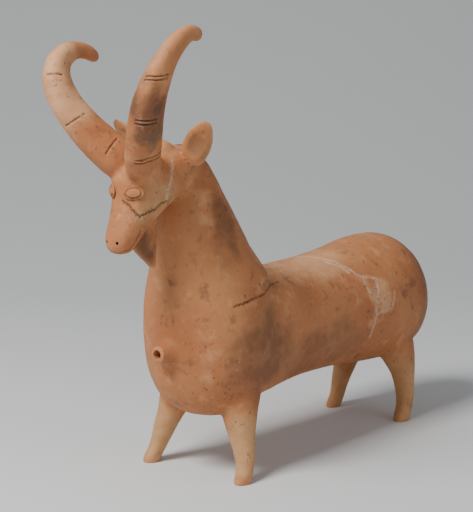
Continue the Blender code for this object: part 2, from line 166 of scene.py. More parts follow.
# Ears, left and right: root and tip. The left one's way of facing is mirrored for the right one.
EARS = (((18, -147, 252.5), (50, -158, 286)), ((-20, -146.5, 252.5), (-48.5, -158, 282.5)))
EAR_HALF_WIDTH = 11.5
EAR_FACING = (0.42, -0.9, 0.1)
EAR_TAPER = -0.4             # below nought it is wider towards the root
EAR_LEAF = 0.58              # half thickness of the leaf before it is hollowed, as a share of the ear's
THUMB_DEPTH = 1.12           # how far in front of the leaf the thumb lies, as a share of the ear's thickness
THUMB_HALF_WIDTH = 9.6
THUMB_REACH = 0.86           # share of the ear's half length
EAR_FORWARD = 0.25           # share of the ear's thickness that it is set forward

# Beard, level rings from the throat to the point: z, y of the front, y of the back, half thickness
BEARD = (
    (226, -184, -163, 3.4), (212, -188, -163, 3.2), (200, -193, -163.5, 3), (193, -194, -164, 3),
    (187, -187, -164.5, 3), (181, -180, -165, 2.8), (175, -173, -165.5, 2.4), (171.5, -169, -166.5, 1.6),
)
BEARD_SQUARENESS = 0.8

# Eyes: centre of the left one, the way it looks, its half length, half height and swell, and its slant
EYE = (11, -199.6, 234)
EYE_FACING = (0.58, -0.8, 0.06)
EYE_SIZES = (7.8, 5, 2.3)
EYE_SLANT = 0.13
LID_LINE = 0.8               # where the lid is drawn, as a share of the mound
LID_POINTS = 48

# Left nostril: centre and the way it opens
NOSTRIL = (4.5, -209.5, 197.2)
NOSTRIL_WAY = (0.25, -0.93, 0.1)
NOSTRIL_REACH = (3, 3.5)     # how far the rod that pierces it runs out and in

# Neck's lower edge, laid over the shoulders: z and y of the ring's middle, tilt, half width and half length
COLLAR = (
    (149, -104.5, 0.13, 49.6, 49.6), (157, -105.5, 0.1, 47.2, 48), (165, -107, 0.06, 43.4, 45.3),
    (174, -110, 0.03, 39.4, 42.5), (184, -113.5, 0, 35.6, 39.8), (194, -116.5, 0, 31.6, 36.6),
)
COLLAR_PROUD = 0.6

# Lines in the clay, as points of the figure on its surface. Scored lines were drawn in the wet clay.
SCORED = (
    ((-51, -225.5, 319.5), (-46.5, -223, 320), (-43.5, -217.5, 319.5)),
    ((-36.5, -221, 282.5), (-30.5, -218, 286.5), (-28, -210, 291)),
    ((-11.5, -205, 262), (-10.5, -200.5, 267.5), (-11.5, -193.5, 272)),
    ((46.5, -223, 321.5), (53.5, -219, 321.5), (56, -210.5, 323)),
    ((46, -223.5, 319), (53, -219.5, 319), (55.5, -210.5, 320.5)),
    ((37.5, -224, 290.5), (43, -220, 290.5), (45.5, -210.5, 291)),
    ((36.5, -223.5, 288), (42.5, -219, 287.5), (44.5, -210.5, 288.5)),
    ((23.5, -211, 257.5), (30, -204, 259), (28, -189, 261.5)),
    ((25.5, -212, 260), (31, -205.5, 262), (28.5, -189.5, 265)),
)
MOUTH = ((0, -208, 190.5), (4, -207.5, 190.5), (7.5, -206.5, 191), (9.5, -203, 192), (11, -199, 195.5),
         (12.5, -197, 200.5), (13.5, -194.5, 206))
CRACKS = (
    ((2.5, -203, 227.5), (8.5, -202, 224.5), (13.5, -199, 218), (14.5, -196.5, 216), (16.5, -190, 219.5),
     (17.5, -183.5, 220.5), (18.5, -179, 224.5), (19, -172.5, 226)),
    ((28, -48.5, 152), (35.5, -71, 149), (48, -93.5, 147), (49.5, -104, 146), (49.5, -111.5, 145),
     (48.5, -118.5, 143), (46, -125.5, 142)),
)
MENDED = (
    ((19, -172.5, 226), (21, -174, 233), (22, -170.5, 241), (21.5, -169, 248.5), (17.5, -165.5, 256)),
    ((-6, 20, 157), (0, 22, 157), (6.5, 23.5, 157), (14.5, 28, 155.5), (22, 35.5, 152.5), (27.5, 38, 149.5),
     (31, 42, 147), (35.5, 45.5, 142.5), (38.5, 51.5, 139.5), (40, 60, 138.5), (42, 68, 136.5)),
    ((19, 25.5, 153.5), (24.5, 31.5, 151), (28.5, 35.5, 148.5), (34, 39, 144)),
    ((42.5, 66.5, 135), (46.5, 64.5, 126.5), (48.5, 60.5, 117.5), (49, 58.5, 106.5)),
    ((49, 58.5, 106.5), (49.5, 66.5, 108.5), (49.5, 75.5, 108), (50, 81.5, 108.5)),
    ((50, 81.5, 108.5), (49.5, 84.5, 116), (48.5, 86, 123.5)),
    ((49, 58.5, 106), (48, 57, 98), (46, 56, 90), (45, 56, 87)),
    ((40.5, 51, 137), (44, 51.5, 130.5), (46, 53.5, 126)),
)


def size():
    return bpy.context.scene.rhyton_sizes


def unit():
    return size().height / HEIGHT_UNITS


def place(x, y, z):
    """A point of the figure in metres from the origin."""
    return Vector((x - MIDDLE_X, y - MIDDLE_Y, z)) * unit()


def deselect():
    if bpy.context.mode != "OBJECT":
        bpy.ops.object.mode_set(mode="OBJECT")
    bpy.ops.object.select_all(action="DESELECT")


def take(*things):
    """Only these are selected, and the first is the active one."""
    deselect()
    for thing in things:
        thing.select_set(True)
    bpy.context.view_layer.objects.active = things[0]
    return things[0]


def settle(thing):
    """Leaves the object at the origin, unturned and unscaled, with its place in its mesh."""
    take(thing)
    bpy.ops.object.transform_apply(location=True, rotation=True, scale=True)
    return thing


def modify(thing, kind, **values):
    """Adds a modifier and applies it."""
    take(thing)
    bpy.ops.object.modifier_add(type=kind)
    modifier = thing.modifiers[-1]
    for name, value in values.items():
        setattr(modifier, name, value)
    bpy.ops.object.modifier_apply(modifier=modifier.name)
    return thing


def join(*things):
    take(*things)
    bpy.ops.object.join()
    return things[0]


def combine(thing, other, operation, **values):
    modify(thing, "BOOLEAN", operation=operation, solver="EXACT", object=other, **values)
    take(other)
    bpy.ops.object.delete()
    return thing


def stretch(centre, axes, amount):
    """Scales what is selected about a centre, along the axes given."""
    bpy.ops.transform.resize(value=amount, orient_type="LOCAL", orient_matrix=axes,
                             orient_matrix_type="LOCAL", center_override=centre)


def square_up(form, centre, axes, half_across, half_along, squareness):
    """Pushes the corners of the ring that was just added outwards."""
    turn = 2 * pi / RING_SIDES
    mesh = bmesh.from_edit_mesh(form.data)
    ring = [v for v in mesh.verts if v.select]
    spots = {}
    for vert in ring:
        local = axes.transposed() @ (form.matrix_world @ vert.co - centre)
        side = abs(local.x) / half_across / RING_SWELL
        spots[vert] = round(np.arccos(min(side, 1)) / turn)
    for corner in (1, 2):
        for vert in ring:
            vert.select = spots[vert] == corner
        mesh.select_flush_mode()
        bmesh.update_edit_mesh(form.data)
        angle = corner * turn
        grow = (cos(angle) ** (squareness - 1), sin(angle) ** (squareness - 1), 1)
        stretch(centre, axes, grow)
        mesh = bmesh.from_edit_mesh(form.data)
    for vert in ring:
        vert.select = True
    mesh.select_flush_mode()
    bmesh.update_edit_mesh(form.data)


def draw_out(name, rings, squareness=1.0):
    """A closed form drawn out of oval rings: each is a centre, its axes and its two half sizes."""
    deselect()
    form = None
    for centre, axes, half_across, half_along in rings:
        bpy.ops.mesh.primitive_circle_add(
            vertices=RING_SIDES, radius=RING_SWELL, fill_type="NOTHING", location=centre,
            rotation=axes.to_euler())
        if form is None:
            form = bpy.context.object
            form.name = name
            bpy.ops.object.mode_set(mode="EDIT")
        stretch(centre, axes, (half_across, half_along, 1))
        if squareness != 1:
            square_up(form, centre, axes, half_across, half_along, squareness)
    bpy.ops.mesh.select_all(action="SELECT")
    bpy.ops.mesh.bridge_edge_loops()
    bpy.ops.mesh.select_all(action="DESELECT")
    bpy.ops.mesh.select_mode(type="EDGE")
    bpy.ops.mesh.select_non_manifold()
    bpy.ops.mesh.fill_holes(sides=0)
    bpy.ops.mesh.select_all(action="SELECT")
    bpy.ops.mesh.normals_make_consistent(inside=False)
    bpy.ops.mesh.select_mode(type="VERT")
    bpy.ops.object.mode_set(mode="OBJECT")
    settle(form)
    return modify(form, "SUBSURF", levels=2, render_levels=2)


LEVEL = Matrix.Identity(3)
UPRIGHT = Matrix(((1, 0, 0), (0, 0, -1), (0, 1, 0)))


def drawn_in(stations, thinner):
    """The stations with their two ends drawn in by the wall along the form."""
    first, last = stations[0][0], stations[-1][0]
    middle, half = (first + last) / 2, (last - first) / 2
    share = 1 - thinner / unit() / half
    return [(middle + (way - middle) * share, *rest) for way, *rest in stations]


def barrel_rings(thinner=0.0):
    u = unit()
    return [(place(0, y, z), UPRIGHT, max(width * u - thinner, u), max(height * u - thinner, u))
            for y, z, width, height in drawn_in(BARREL, thinner)]


def neck_rings(thinner=0.0):
    u = unit()
    return [(place(0, y, z), LEVEL, max(width * u - thinner, u), max(length * u - thinner, u))
            for z, y, width, length in drawn_in(NECK, thinner)]


def head_rings():
    u = unit()
    return [(place(0, (face + nape) / 2, z), LEVEL, width * u, (nape - face) / 2 * u)
            for z, face, nape, width in HEAD]


def leg_rings(leg):
    u = unit()
    return [(place(x, y, z), LEVEL, width * u, length * u) for z, x, y, width, length in leg]


def horn_rings(horn):
    """Rings square to the horn's line, deeper along its curve than across it."""
    points = [place(x, y, z) for x, y, z, half_depth in horn]
    rings = []
    for i, point in enumerate(points):
        tangent = (points[min(i + 1, len(points) - 1)] - points[max(i - 1, 0)]).normalized()
        across = (X - tangent * tangent.dot(X)).normalized()
        axes = Matrix((across, tangent.cross(across), tangent)).transposed()
        half_depth = horn[i][3] * unit()
        rings.append((point, axes, half_depth * HORN_THICKNESS, half_depth))
    return rings


def pad(name, centre, half_sizes, turn=None):
    """A ball of clay pressed to three half sizes."""
    deselect()
    axes = turn or LEVEL
    bpy.ops.mesh.primitive_ico_sphere_add(subdivisions=4, radius=1, location=centre, rotation=axes.to_euler())
    ball = bpy.context.object
    ball.name = name
    ball.scale = half_sizes
    return settle(ball)


def rod(name, start, end, radius):
    """A round rod between two points."""
    deselect()
    way = end - start
    bpy.ops.mesh.primitive_cylinder_add(
        vertices=ROD_SIDES, radius=radius, depth=way.length, location=(start + end) / 2,
        rotation=way.to_track_quat("Z", "Y").to_euler())
    made = bpy.context.object
    made.name = name
    return settle(made)


def make_body():
    u = unit()
    parts = [draw_out("body", barrel_rings()), draw_out("neck", neck_rings())]
    for side in (1, -1):
        x, y, z = SHOULDER
        parts.append(pad("shoulder", place(side * x, y, z), Vector(SHOULDER_SIZES) * u))
    body = join(*parts)
    modify(body, "REMESH", mode="VOXEL", voxel_size=BODY_VOXEL * u)
    modify(body, "SMOOTH", factor=0.5, iterations=BODY_STROKES)
    return modify(body, "SUBSURF", levels=1, render_levels=1)


def make_limbs():
    u = unit()
    parts = [draw_out("head", head_rings(), HEAD_SQUARENESS)]
    parts += [draw_out("leg", leg_rings(leg)) for leg in LEGS]
    parts += [draw_out("horn", horn_rings(horn), HORN_SQUARENESS) for horn in HORNS]
    mouth = size().spout_bore / 2 + size().spout_rim
    rings = []
    for share, flare in SPOUT_PROFILE:
        radius = mouth + (SPOUT_ROOT_RADIUS * u - mouth) * flare
        y = SPOUT_ROOT_Y + (SPOUT_MOUTH_Y - SPOUT_ROOT_Y) * share
        rings.append((place(0, y, SPOUT_Z), UPRIGHT, radius, radius))
    parts.append(draw_out("spout", rings))
    parts.append(pad("crest", place(*CREST), Vector(CREST_SIZES) * u))
    return join(*parts)


def make_ear(side):
    """A leaf of clay pressed hollow with the thumb."""
    u = unit()
    root, tip = [place(*point) for point in EARS[0 if side > 0 else 1]]
    long_way = (tip - root).normalized()
    facing = Vector((side * EAR_FACING[0], *EAR_FACING[1:]))
    facing = (facing - long_way * facing.dot(long_way)).normalized()
    axes = Matrix((long_way.cross(facing), facing, long_way)).transposed()
    middle = (root + tip) / 2
    half_length = (tip - root).length / 2
    thick = size().ear_thickness
    leaf = pad("ear", NOTHING, (EAR_HALF_WIDTH * u, thick * EAR_LEAF, half_length))
    thumb_sizes = (THUMB_HALF_WIDTH * u, thick, half_length * THUMB_REACH)
    thumb = pad("thumb", (0, thick * THUMB_DEPTH, 0), thumb_sizes)
    combine(leaf, thumb, "DIFFERENCE")
    modify(leaf, "SIMPLE_DEFORM", deform_method="TAPER", deform_axis="Z", factor=EAR_TAPER)
    leaf.matrix_world = Matrix.Translation(middle + facing * thick * EAR_FORWARD) @ axes.to_4x4()
    return settle(leaf)


def make_beard():
    u = unit()
    rings = [(place(0, (front + back) / 2, z), LEVEL, half * u, (back - front) / 2 * u)
             for z, front, back, half in BEARD]
    return draw_out("beard", rings, BEARD_SQUARENESS)


def eye_axes(side):
    out = Vector((side * EYE_FACING[0], *EYE_FACING[1:])).normalized()
    along = Z.cross(out).normalized()
    axes = Matrix((along, out.cross(along), out)).transposed()
    return axes @ Matrix.Rotation(side * EYE_SLANT, 3, "Z")


def make_eye(side):
    half_sizes = Vector(EYE_SIZES) * unit()
    return pad("eye", place(side * EYE[0], *EYE[1:]), half_sizes, eye_axes(side))


def make_lid(side):
    """The stroke drawn round the eye, as an oval line on the mound."""
    axes = eye_axes(side)
    half_along, half_up, swell = Vector(EYE_SIZES) * unit()
    centre = place(side * EYE[0], *EYE[1:]) + axes.col[2] * swell * (1 - LID_LINE ** 2) ** 0.5
    deselect()
    bpy.ops.mesh.primitive_circle_add(vertices=LID_POINTS, radius=1, location=centre,
                                      rotation=axes.to_euler())
    line = bpy.context.object
    line.name = "lid"
    line.scale = (half_along * LID_LINE, half_up * LID_LINE, 1)
    return settle(line)


def make_collar():
    u = unit()
    rings = []
    for z, y, tilt, half_width, half_length in COLLAR:
        axes = Matrix.Rotation(tilt, 3, "X")
        across, along = [(half + COLLAR_PROUD) * u for half in (half_width, half_length)]
        rings.append((place(0, y, z), axes, across, along))
    return draw_out("collar", rings)


def line_on(vessel, name, points, wander=0.0, seed=0):
    """A line drawn from point to point and laid on the clay."""
    deselect()
    points = [place(*point) for point in points]
    bpy.ops.mesh.primitive_plane_add(size=unit(), location=points[0])
    line = bpy.context.object
    line.name = name
    bpy.ops.object.mode_set(mode="EDIT")
    bpy.ops.mesh.merge(type="CENTER")
    for start, end in zip(points, points[1:]):
        bpy.ops.mesh.extrude_region_move(TRANSFORM_OT_translate={"value": end - start})
    bpy.ops.mesh.select_all(action="SELECT")
    bpy.ops.mesh.subdivide(number_cuts=LINE_STEPS)
    if wander:
        bpy.ops.transform.vertex_random(offset=wander, uniform=1, seed=seed)
    bpy.ops.object.mode_set(mode="OBJECT")
    settle(line)
    return modify(line, "SHRINKWRAP", target=vessel)


def take_points(line):
    """The points of a line, which is then done with."""
    points = np.array([vert.co for vert in line.data.vertices])
    take(line)
    bpy.ops.object.delete()
    return points


def lay_lines(vessel):
    """The points of every line on the clay, by the kind of stroke that cuts it."""
    marks = {"scored": [], "mouth": [], "lids": [], "cracks": [], "mended": []}
    for points in SCORED:
        marks["scored"].append(take_points(line_on(vessel, "score", points)))
    marks["mouth"].append(take_points(line_on(vessel, "mouth", MOUTH)))
    for seed, points in enumerate(CRACKS):
        marks["cracks"].append(take_points(line_on(vessel, "shaded_crack", points, wander=CRACK_WANDER, seed=seed)))
    for seed, points in enumerate(MENDED):
        marks["mended"].append(take_points(line_on(vessel, "mend", points, wander=MEND_WANDER, seed=seed)))
    for side in (1, -1):
        marks["lids"].append(take_points(make_lid(side)))
    return {kind: np.vstack(points) for kind, points in marks.items()}


def nearest(points, marks):
    """Distance of each point from the nearest of the marks."""
    least = np.full(len(points), 1.0)
    for mark in marks:
        least = np.minimum(least, np.linalg.norm(points - mark, axis=1))
    return least


def refine(vessel, marks, reach, cuts):
    """Finer faces along the lines."""
    take(vessel)
    middles = np.array([face.center for face in vessel.data.polygons])
    near = nearest(middles, marks) < reach
    bpy.ops.object.mode_set(mode="EDIT")
    bpy.ops.mesh.select_all(action="DESELECT")
    bpy.ops.mesh.select_mode(type="FACE")
    mesh = bmesh.from_edit_mesh(vessel.data)
    mesh.faces.ensure_lookup_table()
    for face in mesh.faces:
        face.select = bool(near[face.index])
    bmesh.update_edit_mesh(vessel.data)
    bpy.ops.mesh.subdivide(number_cuts=cuts, quadcorner="INNERVERT")
    bpy.ops.mesh.select_mode(type="VERT")
    bpy.ops.object.mode_set(mode="OBJECT")


def press(vessel, marks, width):
    """Presses the clay in along a line, deeper in three steps towards its middle."""
    take(vessel)
    away = nearest(np.array([vert.co for vert in vessel.data.vertices]), marks)
    bpy.ops.object.mode_set(mode="EDIT")
    bpy.ops.mesh.select_mode(type="VERT")
    for share in PRESS_STEPS:
        bpy.ops.mesh.select_all(action="DESELECT")
        mesh = bmesh.from_edit_mesh(vessel.data)
        for vert in mesh.verts:
            vert.select = bool(away[vert.index] < width * share)
        mesh.select_flush_mode()
        bmesh.update_edit_mesh(vessel.data)
        bpy.ops.transform.shrink_fatten(value=-width * PRESS_DEPTH)
    bpy.ops.object.mode_set(mode="OBJECT")


def close_up(vessel):
    """Welds what lies together and fills any pinhole that the cuts have left."""
    take(vessel)
    bpy.ops.object.mode_set(mode="EDIT")
    bpy.ops.mesh.select_all(action="SELECT")
    bpy.ops.mesh.remove_doubles(threshold=WELD)
    bpy.ops.mesh.select_all(action="DESELECT")
    bpy.ops.mesh.select_non_manifold(extend=False, use_wire=False, use_multi_face=False,
                                     use_non_contiguous=False, use_verts=False)
    bpy.ops.mesh.fill_holes(sides=0)
    bpy.ops.mesh.select_all(action="SELECT")
    bpy.ops.mesh.normals_make_consistent(inside=False)
    bpy.ops.object.mode_set(mode="OBJECT")


def stain(vessel, marks):
    """How far the painted shade of the cracks and drawn lines and the chalk of the mended joins have spread
    into the clay, as attributes of the mesh.
    """
    points = np.array([vert.co for vert in vessel.data.vertices])
    drawn = np.vstack([marks["scored"], marks["mouth"], marks["lids"]])
    stains = (("cracks", marks["cracks"], CRACK_SPREAD), ("mended", marks["mended"], MEND_SPREAD),
              ("scored", drawn, DRAWN_SPREAD))
    for kind, line, spread in stains:
        layer = vessel.data.attributes.new(kind, "FLOAT", "POINT")
        share = np.exp(-(nearest(points, line) / spread) ** 2)
        layer.data.foreach_set("value", share.astype(np.float32))


def work_by_hand(vessel):
    """The unevenness that fingers and a smoothing tool leave."""
    for name, scale, depth in HAND_MARKS:
        texture = bpy.data.textures.new(name, "CLOUDS")
        texture.noise_scale = scale
        modify(vessel, "DISPLACE", texture=texture, texture_coords="LOCAL", mid_level=0.5,
               strength=depth * unit())


def make_hollow():
    wall = size().wall
    u = unit()
    hollow = join(draw_out("hollow", barrel_rings(wall)), draw_out("throat", neck_rings(wall)))
    modify(hollow, "REMESH", mode="VOXEL", voxel_size=BODY_VOXEL * u)
    modify(hollow, "SMOOTH", factor=0.5, iterations=BODY_STROKES)
    return modify(hollow, "DECIMATE", ratio=HOLLOW_FACES_KEPT)


def make_vessel():
    u = unit()
    vessel = join(make_body(), make_limbs())
    vessel.name = "rhyton_vessel"
    modify(vessel, "REMESH", mode="VOXEL", voxel_size=FORM_VOXEL * u)
    modify(vessel, "SMOOTH", factor=0.5, iterations=FORM_STROKES)
    rim = size().spout_bore / 2 + size().spout_rim
    mouth, root = place(0, SPOUT_MOUTH_Y, SPOUT_Z), place(0, SPOUT_ROOT_Y, SPOUT_Z)
    parts = [make_ear(1), make_ear(-1), make_beard(), make_collar()]
    parts.append(rod("rim", mouth, mouth.lerp(root, RIM_SHARE), rim))
    combine(vessel, join(*parts), "UNION")
    modify(vessel, "REMESH", mode="VOXEL", voxel_size=SKIN_VOXEL * u)
    modify(vessel, "SMOOTH", factor=0.5, iterations=SKIN_STROKES)
    work_by_hand(vessel)
    modify(vessel, "DECIMATE", ratio=SKIN_FACES_KEPT)
    combine(vessel, join(make_eye(1), make_eye(-1)), "UNION")
    marks = lay_lines(vessel)
    refine(vessel, np.vstack(list(marks.values())), LINE_REACH, LINE_CUTS)
    widths = {"scored": size().score_width, "mouth": size().mouth_width, "lids": size().lid_stroke,
              "cracks": size().crack_width, "mended": size().mend_width}
    for kind, width in widths.items():
        press(vessel, marks[kind], width)
    take(vessel)
    bpy.ops.object.mode_set(mode="EDIT")
    bpy.ops.mesh.select_all(action="SELECT")
    bpy.ops.mesh.bisect(plane_co=NOTHING, plane_no=Z, use_fill=True, clear_inner=True)
    bpy.ops.object.mode_set(mode="OBJECT")
    combine(vessel, make_hollow(), "DIFFERENCE")
    outer, inner = [mouth.lerp(root, share) for share in BORE_ENDS]
    tools = [rod("bore", outer, inner, size().spout_bore / 2),
             rod("filling", place(*FILLING_TOP), place(*FILLING_FOOT), size().filling_bore / 2)]
    for side in (1, -1):
        way = Vector((side * NOSTRIL_WAY[0], *NOSTRIL_WAY[1:])).normalized()
        middle = place(side * NOSTRIL[0], *NOSTRIL[1:])
        out, inward = [way * reach * u for reach in NOSTRIL_REACH]
        tools.append(rod("nostril", middle + out, middle - inward, size().nostril_bore / 2))
    combine(vessel, join(*tools), "DIFFERENCE")
    close_up(vessel)
    stain(vessel, marks)
    take(vessel)
    bpy.ops.object.shade_smooth_by_angle(angle=SMOOTH_ANGLE)
    return vessel


class Nodes:
    """Lays out the nodes of one material from left to right."""

    def __init__(self, name):
        self.material = bpy.data.materials.new(name)
        self.material.use_nodes = True
        self.tree = self.material.node_tree
        self.shader = self.tree.nodes["Principled BSDF"]

    def add(self, kind, inputs, **settings):
        node = self.tree.nodes.new("ShaderNode" + kind)
        for name, value in settings.items():
            setattr(node, name, value)
        for name, value in inputs.items():
            self.put(node.inputs[name], value)
        return node

    def put(self, socket, value):
        if isinstance(value, bpy.types.NodeSocket):
            self.tree.links.new(value, socket)
        else:
            socket.default_value = value

    def noise(self, where, scale, detail=4, roughness=0.55):
        """A cloudy value round 0.5, with spots about one over the scale apart."""
        inputs = {"Vector": where, "Scale": scale, "Detail": detail, "Roughness": roughness}
        return self.add("TexNoise", inputs).outputs["Fac"]

    def rise(self, value, low, high, bottom=0.0, top=1.0):
        """Goes smoothly from the bottom to the top while the value goes from low to high."""
        inputs = {"Value": value, "From Min": low, "From Max": high, "To Min": bottom, "To Max": top}
        return self.add("MapRange", inputs, interpolation_type="SMOOTHSTEP").outputs["Result"]

    def reckon(self, operation, first, second):
        return self.add("Math", {0: first, 1: second}, operation=operation).outputs[0]

    def mix(self, share, first, second):
        """Goes from the first colour to the second; sockets 6, 7 and 2 are the node's colours."""
        return self.add("Mix", {0: share, 6: first, 7: second}, data_type="RGBA").outputs[2]

    def patch(self, where, centre, reach, edge=0.35):
        """1 inside an oval ball about a point of the figure and 0 outside, with a ragged edge."""
        half = Vector(reach) * unit()
        turned = self.add("Mapping", {"Location": [-c / h for c, h in zip(place(*centre), half)],
                                      "Scale": [1 / h for h in half], "Vector": where}, vector_type="POINT")
        length = self.add("VectorMath", {0: turned.outputs[0]}, operation="LENGTH").outputs["Value"]
        return self.rise(length, 1 + edge, 1 - edge)


# Where the clay is burnt, sooty or pale, and where shade and light are painted in: the colour, its strength,
# and its middle and reach on the figure
STAINS = (
    # The near horn: its own dark brown and grey-green stain, deepened by painted shade on its broad side
    # turned away from the light
    ("burnt_and_shaded", 0.75, (40, -212, 300), (13, 16, 30)),
    ("soot_and_shade", 0.55, (34, -208, 290), (11, 12, 20)),
    ("burnt_and_shaded", 0.35, (19, -195, 262), (10, 12, 12)),
    # Painted shade on the near ear, which faces away from the light
    ("soot_and_shade", 0.4, (33, -150, 268), (12, 10, 14)),
    ("burnt_and_shaded", 0.6, (0, -180, 186), (9, 16, 20)),
    ("burnt_and_shaded", 0.5, (34, -118, 205), (16, 14, 30)),
    ("burnt_and_shaded", 0.55, (50, -96, 100), (18, 34, 36)),
    ("burnt_and_shaded", 0.4, (44, -10, 82), (18, 60, 26)),
    ("straw", 0.55, (24, -180, 222), (12, 22, 18)),
    # The far horn: paler clay, partly painted light on its side turned up to the light
    ("pale_and_lit_clay", 0.7, (-45, -212, 310), (22, 22, 40)),
    # Painted light: the top of the back paler where the light falls on it
    ("pale_and_lit_clay", 0.55, (20, 0, 165), (40, 60, 22)),
    ("pale_and_lit_clay", 0.6, (46, 70, 120), (8, 15, 18)),
    ("straw", 0.6, (44, -114, 24), (16, 16, 34)),
    ("straw", 0.6, (-44, -114, 24), (16, 16, 34)),
    ("straw", 0.5, (36, 120, 26), (18, 20, 34)),
    ("straw", 0.5, (-36, 120, 26), (18, 20, 34)),
    ("burnt_and_shaded", 0.35, (30, 150, 110), (40, 22, 60)),
)


# The colour, the kind of line and how strongly it shows: painted shade darkens the cracks and scored lines,
# the chalk of the mended joins is their own colour
LINE_COLOURS = (("shaded_crack", "scored", 0.75), ("shaded_crack", "cracks", 0.95), ("chalk", "mended", 0.8))


def terracotta():
    """Fired clay, mottled by the fire and by the ground, chalky in its mended joins, with painted shade in
    its lines, creases, near horn and near ear and painted light on the far horn and the top of the back.
    """
    colours = bpy.context.scene.rhyton_colours
    tone = {name: (*getattr(colours, name), 1) for name in RhytonColours.__annotations__}
    nodes = Nodes("terracotta")
    where = nodes.add("TexCoord", {}).outputs["Object"]
    broad = nodes.noise(where, 14)
    middling = nodes.noise(where, 55, 6, 0.62)
    fine = nodes.noise(where, 230, 5, 0.65)
    ragged = nodes.add("TexNoise", {"Vector": where, "Scale": 60, "Detail": 5}).outputs["Color"]
    ragged = nodes.add("VectorMath", {0: ragged, 1: (0.5, 0.5, 0.5)}, operation="SUBTRACT").outputs[0]
    ragged = nodes.add("VectorMath", {0: ragged, "Scale": 0.03}, operation="SCALE").outputs[0]
    astray = nodes.add("VectorMath", {0: where, 1: ragged}, operation="ADD").outputs[0]
    colour = nodes.mix(nodes.rise(broad, 0.35, 0.65), tone["clay"], tone["warm_clay"])
    colour = nodes.mix(nodes.rise(middling, 0.5, 0.75, 0, 0.55), colour, tone["pale_and_lit_clay"])
    colour = nodes.mix(nodes.rise(middling, 0.46, 0.28, 0, 0.6), colour, tone["burnt_and_shaded"])
    for name, strength, centre, reach in STAINS:
        share = nodes.reckon("MULTIPLY", nodes.patch(astray, centre, reach), strength)
        share = nodes.reckon("MULTIPLY", share, nodes.rise(middling, 0.3, 0.6, 0.55, 1.25))
        colour = nodes.mix(share, colour, tone[name])
    flecks = nodes.rise(fine, 0.6, 0.68)
    flecks = nodes.reckon("MULTIPLY", flecks, nodes.rise(broad, 0.4, 0.6, 0.25, 0.75))
    colour = nodes.mix(flecks, colour, tone["burnt_and_shaded"])
    pale_flecks = nodes.rise(nodes.noise(where, 320, 3), 0.64, 0.72, 0, 0.5)
    in_the_dark = nodes.rise(middling, 0.5, 0.4)
    colour = nodes.mix(nodes.reckon("MULTIPLY", pale_flecks, in_the_dark), colour, tone["straw"])
    crumbs = nodes.rise(nodes.noise(where, 420, 3), 0.35, 0.6, 0.5, 1)
    # Painted shade in the cracks and scored lines, and chalk in the mended joins
    for name, line, strength in LINE_COLOURS:
        share = nodes.add("Attribute", {}, attribute_name=line).outputs["Fac"]
        share = nodes.reckon("MULTIPLY", nodes.reckon("MULTIPLY", share, crumbs), strength)
        colour = nodes.mix(share, colour, tone[name])
    # Convex edges paler as worn, and painted shade darkening the creases and hollows
    wear_and_crease_shade = nodes.add("NewGeometry", {}).outputs["Pointiness"]
    colour = nodes.mix(nodes.rise(wear_and_crease_shade, 0.5, 0.56, 0, 0.4), colour, tone["pale_and_lit_clay"])
    colour = nodes.mix(nodes.rise(wear_and_crease_shade, 0.49, 0.44, 0, 0.6), colour, tone["shaded_crack"])
    nodes.put(nodes.shader.inputs["Base Color"], colour)
    nodes.put(nodes.shader.inputs["Roughness"], nodes.rise(middling, 0.3, 0.7, 0.55, 0.78))
    nodes.shader.inputs["Specular IOR Level"].default_value = 0.35
    cells = nodes.add("TexVoronoi", {"Vector": where, "Scale": 420.0}).outputs["Distance"]
    pits = nodes.rise(cells, 0.05, 0.3)
    pits = nodes.reckon("MULTIPLY", pits, nodes.rise(broad, 0.35, 0.6, 0.3, 1))
    height = nodes.reckon("ADD", nodes.reckon("MULTIPLY", fine, 0.8), nodes.reckon("MULTIPLY", pits, 0.35))
    bump = nodes.add("Bump", {"Height": height, "Strength": 0.45, "Distance": 0.0008})
    nodes.put(nodes.shader.inputs["Normal"], bump.outputs["Normal"])
    return nodes.material


# The stage: camera, sweep and lights. A light stands to the right, up and towards the camera from its aim.
CAMERA_PLACE = Vector((0.8226, -1.0202, 0.3843))
CAMERA_WAY = Vector((-0.6342, 0.755, -0.1665))
LENS = 112.5
SENSOR_WIDTH = 36
FLOOR_WIDTH = 8
FLOOR_DEPTH = 4.5
WALL_HEIGHT = 4
SWEEP_RADIUS = 1.6
SWEEP_STEPS = 24
LIGHT_AIM = Vector((0, 0, 0.17))
KEY_STAND = (-0.75, 1.15, 0.75)
KEY_POWER = 30
KEY_WIDTH = 0.55
FILL_STAND = (1.4, 0.5, 1.0)
FILL_POWER = 4
FILL_WIDTH = 1.2
ROOM_LIGHT = (0.9, 0.94, 1, 1)
ROOM_STRENGTH = 0.3


def level_way():
    """The way the camera looks, level with the floor."""
    return Vector((CAMERA_WAY.x, CAMERA_WAY.y, 0)).normalized()


def soft_light(name, stand, power, width):
    deselect()
    to_right, up, forward = stand
    right = CAMERA_WAY.cross(Z).normalized()
    way = -(right * to_right + Z * up - level_way() * forward)
    bpy.ops.object.light_add(type="AREA", location=LIGHT_AIM - way,
                             rotation=way.to_track_quat("-Z", "Y").to_euler())
    light = bpy.context.object
    light.name = name
    light.data.energy = power
    light.data.size = width
    return light


